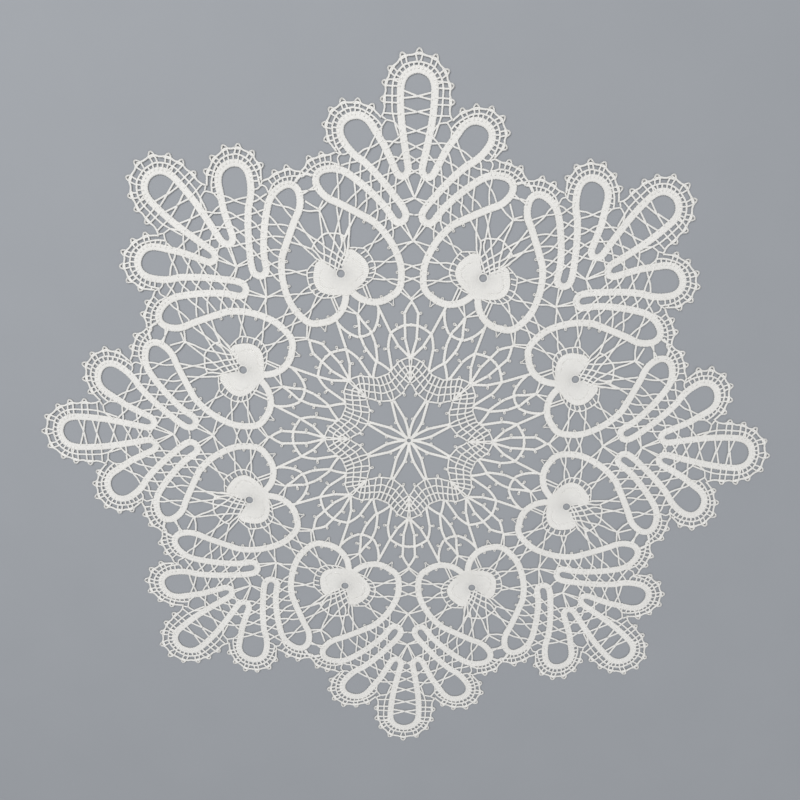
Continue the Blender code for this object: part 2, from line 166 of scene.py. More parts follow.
# Threads of the net over the leaf of a heart, across the whole heart: those
# that run down to the left, those that run down to the right, and the rim.
HEART_LEFTWARD = (
    (34, 667, 20, 660, 7, 655, 1, 632, -5, 608, -10, 595, -12, 580, -17, 566, -22, 549, -27, 539,
     -31, 530, -35, 521),
    (26, 674, 16, 665, 7, 658),
    (65, 638, 46, 616, 34, 600, 24, 588, 16, 577, 12, 566, 0, 550, -8, 541, -14, 530, -20, 520,
     -25, 511),
    (79, 624, 67, 594, 55, 582, 44, 571, 36, 583, 34, 566, 29, 555, 20, 546, 11, 538, 5, 529,
     -2, 520, -8, 511, -12, 502),
    (91, 611, 68, 593, 55, 577, 44, 571, 39, 563, 36, 553, 34, 543, 30, 535, 23, 529, 14, 523,
     6, 515, -1, 504),
    (-54, 649, -47, 617, -42, 600, -38, 584),
    (-80, 620, -70, 594, -60, 573, -51, 556, -49, 548, -41, 541, -36, 530, -44, 522),
    (50, 560, 47, 549, 41, 541, 33, 532, 25, 520, 15, 512, 10, 503),
)
HEART_RIGHTWARD = (
    (-34, 671, -16, 661, 7, 655, 9, 632, 8, 610, 9, 595, 13, 580, 16, 566, 19, 547, 23, 537,
     27, 528, 32, 519),
    (-18, 688, -8, 676, 7, 658),
    (-65, 638, -47, 617, -36, 599, -26, 588, -19, 577, -14, 566, -1, 549, 6, 540, 10, 531,
     17, 521, 24, 512),
    (-93, 608, -71, 592, -57, 580, -47, 571, -38, 584, -36, 566, -30, 555, -22, 548, -13, 540,
     -8, 531, -1, 523, 6, 513, 12, 504),
    (-47, 571, -41, 562, -38, 551, -36, 542, -31, 533, -22, 525, -15, 517, -8, 509, -2, 501),
    (53, 649, 45, 616, 41, 600, 36, 583, 38, 571, 37, 560),
    (67, 594, 60, 578, 50, 560, 41, 544, 36, 536, 38, 526),
)
HEART_RIM = (-47, 571, -41, 580, -34, 586, -26, 588, -18, 591, -10, 595, 0, 597, 9, 595, 16, 591,
             24, 588, 31, 586, 37, 581, 44, 571)
HEART_KNOTS = (7, 656, -47, 617, 45, 616, -70, 593, 67.5, 593.5, -26, 588, 24, 588, -10, 595,
               9, 595, -38, 584, 36, 583, -47, 571, 44, 571)

# The thin line round the leaf with its short rungs: across, out in turn.
LEAF_LINE = (46, 542, 60, 537, 82, 526, 89, 504, 92, 480, 86, 461, 70, 446, 38, 437, 20, 437)
LEAF_RUNGS = (
    (84, 521, 66, 517),
    (89, 508, 73, 505),
    (92, 491, 74, 489),
    (92, 474, 74, 474),
    (85, 461, 68, 463),
    (74, 450, 60, 456),
    (60, 443, 50, 449),
    (46, 440, 38, 444),
    (66, 535, 56, 529),
)

# Pairs across the middle petal, from the fan: across, along, to across, along.
PETAL_PAIRS = (
    (38, 900, 0, 889.5),
    (38, 883, 0, 889.5),
    (38, 864, 0, 854),
    (36, 845, 0, 854),
    (36, 823, 0, 809),
    (33, 799.5, 0, 809),
    (28, 784, 0, 771),
    (25, 760, 0, 771),
    (21, 751, 0, 740),
    (19, 728, 0, 740),
    (17, 721, 0, 712),
    (18, 704, 0, 712),
)

# Plaits: from across, from out, to across, to out, bulge.
PLAITS = (
    (3, 8, 11.5, 66, 0.04),
    (11.5, 66, 3.2, 123, 0.0),
    (25, 202, 1, 238, 0.03),
    (2, 240, 15.5, 290, 0.02),
    (15.5, 290, 15.5, 325, 0.0),
    (15.5, 325, 1, 372, -0.03),
    (0, 314, 21, 317, 0.0),
    (21, 317, 57, 368, 0.08),
    (58, 384, 64, 302, 0.0),
    (64, 302, 71, 258, 0.0),
    (71, 258, 88, 217, 0.0),
    (30, 202, 43, 262, 0.0),
    (43, 262, 65, 298, -0.04),
    (65, 298, 105, 304, -0.03),
    (105, 304, 123.5, 298.2, 0.0),
    (88, 217, 94.5, 268, 0.0),
    (94.5, 268, 118.5, 333, 0.0),
    (118.5, 333, 147, 355, -0.04),
    (147, 355, 150.4, 363, 0.0),
)

# Picots of the plaits: foot across, foot out, tip across, tip out.
PLAIT_PICOTS = (
    (10.5, 62, 20.5, 60),
    (13, 277, 25, 276),
    (10, 346, 24, 348),
    (38, 334, 46, 322),
    (70, 260, 59, 254),
    (42, 260, 28, 265),
    (86, 301, 87, 317),
    (118, 331, 110, 341),
    (95, 271, 83, 273),
)

# Picots worked on the tape, inside the heart and under its lobe.
TAPE_PICOTS = (
    (112, 597, 101, 586),
    (132, 571, 118, 564),
    (151, 508, 136.5, 505),
    (149, 438, 134.5, 441),
    (77, 385, 76, 400.5),
    (109, 391, 104.5, 403.5),
)

# The wide picot under the lobe of the heart: foot and tip.
LOBE_PICOT = (96, 382, 98, 361)

# Outer and middle threads of the edging: across, out in turn.
EDGE_OUTER_1 = (0, 986, 25, 982, 45, 973, 60, 957, 72, 937, 79, 915, 82, 890, 82, 865, 84, 850,
                90, 838)
EDGE_MIDDLE_1 = (0, 968.5, 20, 965, 35, 960, 47, 949, 56, 937, 61, 925, 63.5, 910, 63.5, 870,
                 62, 850, 58, 835, 52, 815, 45, 795)
EDGE_OUTER_2 = (240, 808, 235, 820, 225, 834, 210, 850, 195, 860, 178, 868, 160, 872, 143, 870,
                125, 863, 108, 850, 98, 835, 93, 815, 92, 797, 95, 783, 100, 771)
EDGE_MIDDLE_2 = (232, 785, 228, 800, 221, 814, 210, 829, 198, 842, 179, 853, 160, 856, 136, 851,
                 124, 842, 114, 829, 108, 810, 106, 790, 108, 775, 112, 760)
EDGE_OUTER_3 = (100, 771, 80, 771, 60, 774, 45, 775, 25, 773, 10, 763, 0, 759)
EDGE_MIDDLE_3 = (98, 738, 90, 744, 80, 753, 65, 758, 50, 760, 35, 758, 20, 754, 0, 745)

# Tips of the edging picots: across, out, and the same from the fan.
EDGE_TIPS_1 = (0, 1000, 44, 986.5, 75, 951.5, 90, 919, 94.5, 879)
EDGE_TIPS_2 = (228.5, 842.5, 199.5, 868, 160, 882, 122, 872, 92.5, 843.5, 84, 806.5)
EDGE_TIPS_3 = (65.5, 787, 30, 787)

# Single rungs of the edging, apart from the two under each picot: where they
# cross its outer band, across and out, the first petal's from the fan.
EDGE_RUNGS_1 = (6.5, 982)
EDGE_RUNGS_2 = (103, 781)
EDGE_RUNGS_3 = (86, 765, 14, 764)

# Rungs down the flank of the first petal, from the fan: outer end across and
# along, inner end across and along.
EDGE_FLANK_1 = (
    (77, 924, 44, 926),
    (81, 910, 44, 910),
    (83, 887, 43, 888),
    (83, 872, 42, 872),
    (84, 847, 40, 846),
)

# Threads in the valleys between the petals: across, out in turn.
VALLEYS = (
    (222, 765, 229, 786, 247.5, 798, 266, 786, 272, 760),
    (247.5, 798, 240, 808),
    (136, 760, 119, 757, 108, 763, 98, 756, 97, 735),
    (108, 763, 100, 771),
    (0, 759, 8, 750, 22, 738),
)

# Radial and crosswise threads of the net ring, across, out in turn.
NET_RADIALS = (
    (3, 121, 6.5, 140, 6, 170, 6, 196),
    (29, 131, 25, 143, 21, 158, 18.5, 172, 16.5, 185, 18, 196),
    (42, 138, 40, 148, 36, 163, 34, 172, 29, 186, 26, 201),
    (60, 152, 54, 163, 47, 177, 41, 190, 37, 208),
    (64, 158, 62, 172, 58, 184, 54, 198, 51, 214),
    (69, 173, 69, 185, 67, 197, 63, 217),
    (62, 152, 65.5, 160, 68.4, 173, 75, 183, 79, 196, 81.7, 206.4, 86.5, 216),
)
NET_CROSSES = (
    (0, 196, 17, 196, 25, 201, 36, 208, 45, 210, 52, 217, 62, 218, 75, 219, 87, 218),
    (0, 172, 12, 172, 19, 174, 26, 179, 37, 183, 49, 191, 61, 196, 70, 199, 78, 195),
    (0, 150, 15, 150, 24, 153, 31, 158, 38, 162, 45, 165, 55, 171, 66, 180, 74, 183),
    (0, 121, 8, 125, 16, 127.5, 24, 129.5, 30, 132, 36, 134, 42, 138, 48, 144, 55, 149, 61, 151),
)
NET_PICOTS = (
    (36, 136, 36, 121),
    (52, 212, 54, 226),
)

# Outline of the right half of the woven leaf, from the notch over its round
# hole to its foot: across, out in turn.
LEAF_OUTLINE = (40, 538, 46.6, 539, 54, 534, 66.5, 515, 73.5, 500, 75.5, 485, 73, 470, 64, 458,
                50, 448, 35, 441, 20, 438, 8, 430, 0, 428)
LEAF_PIVOT = (-1.0, 488.5)
LEAF_HOLE = 12.2

# Places where several pairs are worked together: across, out, half width.
KNOTS = (
    (248, 598.7, 4.2),
    (207, 500, 4.2),
    (187, 496, 2.8),
    (182.5, 440.6, 3.6),
    (171, 411, 3.6),
    (150, 363, 5.5),
    (0, 373, 5.0),
    (0, 239, 6.5),
    (88.5, 217, 7.0),
    (123.5, 298.2, 5.5),
    (65, 299, 5.5),
    (15.5, 315, 4.6),
    (58, 368, 5.0),
    (105, 304, 4.6),
    (0, 121.5, 6.0),
    (11.5, 65, 4.4),
    (27, 203, 5.0),
)


def pairs_of(flat: tuple[float, ...]) -> np.ndarray:
    """Rows of two from a table that gives across and out in turn."""
    return np.array(flat, float).reshape(-1, 2)


def from_fan(points: np.ndarray) -> np.ndarray:
    """Turn points given from the fan axis into points given from the heart axis.

    Args:
        points: rows of across and along, from the axis of the middle petal.

    Returns:
        The same points as rows of across and out, from the heart axis.
    """
    c, s = math.cos(HALF_ANGLE), math.sin(HALF_ANGLE)
    across, along = points[:, 0], points[:, 1]
    return np.stack([s * along - c * across, c * along + s * across], axis=1)


def bowed(start: tuple[float, float], end: tuple[float, float], bulge: float,
          pieces: int = 8) -> np.ndarray:
    """Points of a shallow bow.

    Args:
        start: first point.
        end: last point.
        bulge: height of the bow as a share of its chord, to the right.
        pieces: number of straight pieces.

    Returns:
        Rows of across and out, both ends included.
    """
    p, q = np.array(start, float), np.array(end, float)
    d = q - p
    side = np.array([d[1], -d[0]])
    t = np.linspace(0.0, 1.0, pieces + 1)[:, None]
    return p + d * t + side * (4.0 * bulge * t * (1.0 - t))


def chain(start: tuple[float, float], sections: tuple) -> np.ndarray:
    """One run of points through the sections of a table.

    Args:
        start: where the run starts.
        sections: rows of name, end across, end out and bulge.

    Returns:
        Rows of across and out.
    """
    points, at = [np.array([start], float)], start
    for _, across, out, bulge in sections:
        points.append(bowed(at, (across, out), bulge)[1:])
        at = (across, out)
    return np.concatenate(points)


def resampled(points: np.ndarray, step: float) -> np.ndarray:
    """A run of points at even steps.

    Args:
        points: the run, in any number of columns.
        step: longest step, in the units of the points.

    Returns:
        The run with both of its ends kept.
    """
    gone = np.concatenate([[0.0], np.cumsum(np.linalg.norm(np.diff(points, axis=0), axis=1))])
    count = max(2, int(math.ceil(gone[-1] / step)) + 1)
    at = np.linspace(0.0, gone[-1], count)
    return np.stack([np.interp(at, gone, column) for column in points.T], axis=1)


def eased(points: np.ndarray, rounds: int) -> np.ndarray:
    """A run of points with its corners eased, both ends kept."""
    out = points.copy()
    for _ in range(rounds):
        out[1:-1] = 0.25 * out[:-2] + 0.5 * out[1:-1] + 0.25 * out[2:]
    return out


def strayed(points: np.ndarray) -> np.ndarray:
    """Plan points of the whole cloth moved to where the hand work put them."""
    x, y = points[:, 0], points[:, 1]
    r, turn = np.hypot(x, y), np.arctan2(x, y)
    outward, around = np.zeros(len(points)), np.zeros(len(points))
    for power, waves, out_cos, out_sin, round_cos, round_sin in UNEVEN:
        grown = (r / 1000.0) ** power
        outward += grown * (out_cos * np.cos(waves * turn) + out_sin * np.sin(waves * turn))
        around += grown * (round_cos * np.cos(waves * turn) + round_sin * np.sin(waves * turn))
    far, turn = r + outward, turn + around / np.maximum(r, 1.0)
    return np.stack([far * np.sin(turn), far * np.cos(turn)], axis=1)


@dataclass(frozen=True)
class Copy:
    """One of the sixteen copies of the half repeat."""

    turn: int
    mirrored: bool

    def place(self, points: np.ndarray) -> np.ndarray:
        """Put plan points of the half repeat on the cloth.

        Args:
            points: rows of across and out, thousandths of the radius.

        Returns:
            Rows of x and y in metres.
        """
        angle = (2.0 * self.turn + 1.0) * HALF_ANGLE
        x = -points[:, 0] if self.mirrored else points[:, 0]
        y = points[:, 1]
        c, s = math.cos(angle), math.sin(angle)
        turned = np.stack([x * c + y * s, -x * s + y * c], axis=1)
        return (strayed(turned) - np.array(BOX_MIDDLE)) * UNIT


class Lie(Enum):
    """How high a thread passes where it meets another, in millimetres."""

    INTO = 0.40
    UNDER = 0.44
    LEVEL = 0.48
    OVER = 0.92


@dataclass(frozen=True)
class Linen:
    """A finish of off-white linen thread.

    The weave of a finish is a wave that runs along the thread, turned by the
    place round it, and it lifts the surface and paints shade into the grooves
    as a darker colour.
    """

    name: str
    pitch: float
    lean: float
    depth: float
    light: tuple[float, float, float] = (0.90, 0.885, 0.845)
    # colour of the painted groove shade and of the random darker patches of tone
    dark: tuple[float, float, float] = (0.70, 0.68, 0.63)
    rough: float = 0.78
    sheen: float = 0.25

    def material(self) -> bpy.types.Material:
        """Make the material.

        Returns:
            A material of procedural nodes that read the Thread map.
        """
        made = bpy.data.materials.new(self.name)
        made.use_nodes = True
        tree = made.node_tree
        shader = tree.nodes["Principled BSDF"]
        shader.inputs["Sheen Weight"].default_value = self.sheen
        shader.inputs["Sheen Roughness"].default_value = 0.45
        shader.inputs["Specular IOR Level"].default_value = 0.35
        uv = tree.nodes.new("ShaderNodeUVMap")
        uv.uv_map = "Thread"
        split = tree.nodes.new("ShaderNodeSeparateXYZ")
        tree.links.new(uv.outputs["UV"], split.inputs[0])
        ahead = self.maths(tree, "MULTIPLY", split.outputs["X"], 2.0 * math.pi / self.pitch)
        lean = self.maths(tree, "MULTIPLY", split.outputs["Y"], 2.0 * math.pi * self.lean)
        wave = self.maths(tree, "SINE", self.maths(tree, "ADD", ahead, lean))
        place = tree.nodes.new("ShaderNodeTexCoord")
        fuzz = self.noise(tree, place, 5200.0, 2.0)
        patch = self.noise(tree, place, 55.0, 3.0)
        height = self.maths(tree, "ADD", wave, self.maths(tree, "MULTIPLY", fuzz, 1.4))
        bump = tree.nodes.new("ShaderNodeBump")
        bump.inputs["Strength"].default_value = 0.6
        bump.inputs["Distance"].default_value = self.depth
        tree.links.new(height, bump.inputs["Height"])
        tree.links.new(bump.outputs["Normal"], shader.inputs["Normal"])
        # Painted shade: the colour darkens in the grooves where the weave wave dips; the patch
        # noise adds tone that differs at random.
        painted_groove_shade_and_tone = self.ranged(tree, wave, -1.0, 1.0, 0.20, 0.0)
        painted_groove_shade_and_tone = self.maths(tree, "ADD", painted_groove_shade_and_tone, self.ranged(tree, patch, 0.3, 0.7, 0.22, 0.0))
        blend = tree.nodes.new("ShaderNodeMix")
        blend.data_type = "RGBA"
        blend.inputs["A"].default_value = (*self.light, 1.0)
        blend.inputs["B"].default_value = (*self.dark, 1.0)
        tree.links.new(painted_groove_shade_and_tone, blend.inputs["Factor"])
        tree.links.new(blend.outputs["Result"], shader.inputs["Base Color"])
        tree.links.new(self.ranged(tree, fuzz, 0.3, 0.7, self.rough - 0.08, self.rough + 0.10),
                       shader.inputs["Roughness"])
        return made

    @staticmethod
    def maths(tree: bpy.types.NodeTree, what: str, first: bpy.types.NodeSocket,
              second: bpy.types.NodeSocket | float | None = None) -> bpy.types.NodeSocket:
        """Join one or two values.

        Args:
            tree: where the node goes.
            what: name of the operation.
            first: first value.
            second: second value, a socket or a number.

        Returns:
            The result's socket.
        """
        node = tree.nodes.new("ShaderNodeMath")
        node.operation = what
        tree.links.new(first, node.inputs[0])
        if isinstance(second, float):
            node.inputs[1].default_value = second
        elif second is not None:
            tree.links.new(second, node.inputs[1])
        return node.outputs[0]

    @staticmethod
    def noise(tree: bpy.types.NodeTree, place: bpy.types.Node, scale: float,
              detail: float) -> bpy.types.NodeSocket:
        """Noise in object space, and its factor's socket."""
        node = tree.nodes.new("ShaderNodeTexNoise")
        node.inputs["Scale"].default_value = scale
        node.inputs["Detail"].default_value = detail
        tree.links.new(place.outputs["Object"], node.inputs["Vector"])
        return node.outputs["Fac"]

    @staticmethod
    def ranged(tree: bpy.types.NodeTree, value: bpy.types.NodeSocket, low: float, high: float,
               to_low: float, to_high: float) -> bpy.types.NodeSocket:
        """Stretch a value from one range to another, and its socket."""
        node = tree.nodes.new("ShaderNodeMapRange")
        for name, number in (("From Min", low), ("From Max", high), ("To Min", to_low),
                             ("To Max", to_high)):
            node.inputs[name].default_value = number
        tree.links.new(value, node.inputs["Value"])
        return node.outputs["Result"]


@dataclass
class Pile:
    """Points and faces of many threads, gathered into one mesh."""

    name: str
    finishes: list[Linen] = field(default_factory=list)
    points: list[np.ndarray] = field(default_factory=list)
    quads: list[np.ndarray] = field(default_factory=list)
    caps: list[np.ndarray] = field(default_factory=list)
    quad_uvs: list[np.ndarray] = field(default_factory=list)
    cap_uvs: list[np.ndarray] = field(default_factory=list)
    quad_slots: list[np.ndarray] = field(default_factory=list)
    cap_slots: list[np.ndarray] = field(default_factory=list)
    count: int = 0
    slot: int = 0

    def take(self, finish: Linen) -> None:
        """Work what follows in a finish."""
        if finish not in self.finishes:
            self.finishes.append(finish)
        self.slot = self.finishes.index(finish)

    def rings(self, grid: np.ndarray, along: np.ndarray, closed: bool = False) -> None:
        """Add a skin over rings of points.

        Args:
            grid: rings, points of a ring, and x, y, z in metres.
            along: millimetres along the thread at each ring.
            closed: whether the last ring meets the first again.
        """
        n, m = grid.shape[:2]
        i = np.arange(n if closed else n - 1)[:, None]
        j = np.arange(m)[None, :]
        a, b = i * m + j, i * m + (j + 1) % m
        nxt = (i + 1) % n
        c, d = nxt * m + (j + 1) % m, nxt * m + j
        quad = np.stack([a, b, c, d], axis=-1).reshape(-1, 4) + self.count
        step = along[1] - along[0]
        u0 = np.broadcast_to(along[: len(i), None], (len(i), m))
        u1 = np.broadcast_to((along[np.minimum(i[:, 0] + 1, n - 1)] if not closed
                              else along + step)[:, None], (len(i), m))
        v0 = np.broadcast_to(j / m, (len(i), m))
        v1 = np.broadcast_to((j + 1) / m, (len(i), m))
        uv = np.stack([np.stack([u0, v0], -1), np.stack([u0, v1], -1),
                       np.stack([u1, v1], -1), np.stack([u1, v0], -1)], axis=-2)
        self.quads.append(quad)
        self.quad_uvs.append(uv.reshape(-1, 4, 2))
        self.quad_slots.append(np.full(len(quad), self.slot))
        if not closed:
            rim = np.arange(1, m - 1)
            fan = np.stack([np.zeros(m - 2, int), rim + 1, rim], -1)
            last = (n - 1) * m
            self.caps.append(fan + self.count)
            self.caps.append(fan[:, ::-1] + self.count + last)
            for end in (along[0], along[-1]):
                self.cap_uvs.append(np.stack([np.full((m - 2, 3), end), fan / m], -1))
                self.cap_slots.append(np.full(m - 2, self.slot))
        self.points.append(grid.reshape(-1, 3))
        self.count += n * m

    def tube(self, path: np.ndarray, wide: np.ndarray | float, high: np.ndarray | float,
             sides: int = 6, closed: bool = False) -> None:
        """Add a thread along a path.

        Args:
            path: rows of x, y, z in metres.
            wide: half width in metres, one number or one for each point.
            high: half height in metres, likewise.
            sides: points round the thread.
            closed: whether the thread comes back to its start.
        """
        ahead = np.roll(path, -1, axis=0) if closed else np.concatenate([path[1:], path[-1:]])
        behind = np.roll(path, 1, axis=0) if closed else np.concatenate([path[:1], path[:-1]])
        d = (ahead - behind)[:, :2]
        d /= np.maximum(np.linalg.norm(d, axis=1, keepdims=True), TINY)
        side = np.stack([d[:, 1], -d[:, 0], np.zeros(len(d))], axis=1)
        turn = 2.0 * math.pi * (np.arange(sides) + 0.5) / sides
        wide = np.broadcast_to(wide, (len(path),))[:, None, None]
        high = np.broadcast_to(high, (len(path),))[:, None, None]
        up = np.array([0.0, 0.0, 1.0])
        grid = (path[:, None, :] + side[:, None, :] * np.cos(turn)[None, :, None] * wide
                + up * np.sin(turn)[None, :, None] * high)
        gone = np.concatenate([[0.0], np.cumsum(np.linalg.norm(np.diff(path, axis=0), axis=1))])
        self.rings(grid[:, ::-1], gone / MILLI, closed)

    def ribbon(self, path: np.ndarray, profile: np.ndarray, wide: np.ndarray,
               relief: np.ndarray) -> None:
        """Add a flat band with relief along a path.

        Args:
            path: rows of x, y, z in metres, z being that of the underside.
            profile: for each point round the band, its place across from
                -1 to 1 and its height in metres.
            wide: half width in metres at each ring, left and right.
            relief: rise in metres at each ring and each point of the profile.
        """
        d = (np.concatenate([path[1:], path[-1:]]) - np.concatenate([path[:1], path[:-1]]))[:, :2]
        d /= np.maximum(np.linalg.norm(d, axis=1, keepdims=True), TINY)
        side = np.stack([d[:, 1], -d[:, 0]], axis=1)
        across, height = profile[:, 0], profile[:, 1]
        reach = np.where(across[None, :] < 0.0, wide[:, :1], wide[:, 1:]) * across[None, :]
        grid = np.zeros((len(path), len(profile), 3))
        grid[:, :, :2] = path[:, None, :2] + side[:, None, :] * reach[:, :, None]
        grid[:, :, 2] = path[:, None, 2] + height[None, :] + relief
        gone = np.concatenate([[0.0], np.cumsum(np.linalg.norm(np.diff(path, axis=0), axis=1))])
        self.rings(grid[:, ::-1], gone / MILLI)

    def bead(self, centre: np.ndarray, wide: float, high: float, sides: int = 8) -> None:
        """Add a small knot.

        Args:
            centre: x, y, z in metres.
            wide: half width in metres.
            high: half height in metres.
            sides: points round it.
        """
        lift = np.linspace(-0.5, 0.5, 5) * math.pi * 0.92
        turn = 2.0 * math.pi * np.arange(sides) / sides
        grid = np.zeros((5, sides, 3))
        grid[:, :, 0] = centre[0] + wide * np.cos(lift)[:, None] * np.cos(turn)
        grid[:, :, 1] = centre[1] + wide * np.cos(lift)[:, None] * np.sin(turn)
        grid[:, :, 2] = centre[2] + high * np.sin(lift)[:, None]
        self.rings(grid, np.linspace(0.0, 2.0 * wide / MILLI, 5))

    def picot(self, foot: np.ndarray, tip: np.ndarray, thread: float, z: float,
              loop: float = 0.55 * MILLI, base: float = 0.35 * MILLI,
              open_at: float = 135.0) -> None:
        """Add a small loop of thread.

        Args:
            foot: x, y in metres where it leaves the work.
            tip: x, y in metres of its outer end.
            thread: half thickness in metres.
            z: height of the thread's middle in metres.
            loop: radius of the loop's middle line in metres.
            base: half width of its foot in metres.
            open_at: where the loop leaves its circle, degrees from the tip.
        """
        reach = tip - foot
        d = reach / max(float(np.hypot(*reach)), TINY)
        side = np.array([d[1], -d[0]])
        turn = np.radians(np.linspace(-open_at, open_at, 10))[:, None]
        centre = tip - d * (loop + thread)
        bow = centre + loop * (np.cos(turn) * d + np.sin(turn) * side)
        plan = np.concatenate([[foot - side * base], bow, [foot + side * base]])
        path = np.concatenate([plan, np.full((len(plan), 1), z)], axis=1)
        self.tube(path, thread, thread, 6, closed=True)

    def triangles(self) -> int:
        """How many triangles the mesh has."""
        return 2 * sum(len(q) for q in self.quads) + sum(len(c) for c in self.caps)

    @staticmethod
    def lay_flat(mesh: bpy.types.Mesh, points: np.ndarray, corners: np.ndarray) -> None:
        """Add a map of the piece seen from above, its flanks folded outwards.

        Args:
            mesh: the mesh of the piece.
            points: its points in metres.
            corners: the point of each corner of its faces.
        """
        normals = np.empty(len(points) * 3, np.float32)
        mesh.vertex_normals.foreach_get("vector", normals)
        normals = normals.reshape(-1, 3)
        flat = points[:, :2] + normals[:, :2] * (1.0 - normals[:, 2:]) * FLANK_SPREAD
        low, high = flat.min(axis=0), flat.max(axis=0)
        flat = 0.01 + 0.98 * (flat - low) / (high - low)
        layer = mesh.uv_layers.new(name="OFBake")
        layer.data.foreach_set("uv", flat[corners].astype(np.float32).ravel())

    def dressed(self, materials: dict[Linen, bpy.types.Material]) -> bpy.types.Object:
        """Make the object.

        Args:
            materials: the material of each finish.

        Returns:
            The new object, linked to the scene.
        """
        points = np.concatenate(self.points)
        quads = np.concatenate(self.quads)
        caps = np.concatenate(self.caps) if self.caps else np.zeros((0, 3), int)
        corners = np.concatenate([quads.ravel(), caps.ravel()]).astype(np.int32)
        starts = np.concatenate([np.arange(len(quads)) * 4,
                                 4 * len(quads) + np.arange(len(caps)) * 3]).astype(np.int32)
        uvs = [np.concatenate(self.quad_uvs).reshape(-1, 2)]
        if self.caps:
            uvs.append(np.concatenate(self.cap_uvs).reshape(-1, 2))
        mesh = bpy.data.meshes.new(self.name)
        mesh.vertices.add(len(points))
        mesh.vertices.foreach_set("co", points.astype(np.float32).ravel())
        mesh.loops.add(len(corners))
        mesh.loops.foreach_set("vertex_index", corners)
        mesh.polygons.add(len(starts))
        mesh.polygons.foreach_set("loop_start", starts)
        mesh.polygons.foreach_set("use_smooth", np.ones(len(starts), bool))
        layer = mesh.uv_layers.new(name="Thread")
        layer.data.foreach_set("uv", np.concatenate(uvs).astype(np.float32).ravel())
        slots = np.concatenate(self.quad_slots + self.cap_slots).astype(np.int32)
        mesh.polygons.foreach_set("material_index", slots)
        mesh.update(calc_edges=True)
        self.lay_flat(mesh, points, corners)
        for finish in self.finishes:
            mesh.materials.append(materials[finish])
        piece = bpy.data.objects.new(self.name, mesh)
        bpy.context.collection.objects.link(piece)
        return piece


@dataclass
class Tape:
    """The woven tape that draws every petal and heart."""

    half: float = 2.04 * MILLI
    rise: float = 0.80 * MILLI
    step: float = 0.50 * MILLI
    pin_pitch: float = 1.7 * MILLI
    pin_reach: float = 0.13 * MILLI
    finish: Linen = Linen("linen_cloth_stitch", 0.62, 3.0, 0.00010)

    def profile(self) -> np.ndarray:
        """Round the band: place across from -1 to 1 and height in metres."""
        r = self.rise
        return np.array([
            (-0.78, 0.04 * MILLI), (0.78, 0.04 * MILLI), (1.0, 0.50 * r), (0.86, 0.96 * r),
            (0.52, 0.84 * r), (0.0, 0.93 * r), (-0.52, 0.84 * r), (-0.86, 0.96 * r),
            (-1.0, 0.50 * r),
        ])

    def centre_line(self, turn: int) -> np.ndarray:
        """Middle of the tape of one repeat, from heart foot to heart foot.

        Args:
            turn: which of the eight.

        Returns:
            Rows of x and y in metres.
        """
        half = chain(TAPE_START, TAPE)
        left = Copy(turn, False).place(half)
        right = Copy((turn + 1) % REPEATS, True).place(half)
        joined = np.concatenate([left[::-1], right[1:]])
        return eased(resampled(joined, self.step), 5)

    def work(self, pile: Pile, turn: int, rng: np.random.Generator) -> None:
        """Weave the run of one repeat.

        Args:
            pile: where it goes.
            turn: which of the eight.
            rng: source of the small unevenness.
        """
        pile.take(self.finish)
        profile = self.profile()
        top = profile[:, 1] > 0.3 * self.rise
        line = self.centre_line(turn)
        n = len(line)
        path = np.concatenate([line, np.zeros((n, 1))], axis=1)
        beat = 2.0 * math.pi * np.arange(n) * self.step / self.pin_pitch
        wide = np.full((n, 2), self.half) + rng.normal(0.0, 0.03 * MILLI, (n, 2))
        wide[:, 0] += self.pin_reach * np.sin(beat)
        wide[:, 1] -= self.pin_reach * np.sin(beat)
        rough = rng.normal(0.0, 0.022 * MILLI, (n, len(profile)))
        row = 0.03 * MILLI * (2 * (np.arange(n) % 2)[:, None] - 1)
        pile.ribbon(path, profile, wide, np.where(top[None, :], rough + row, 0.0))


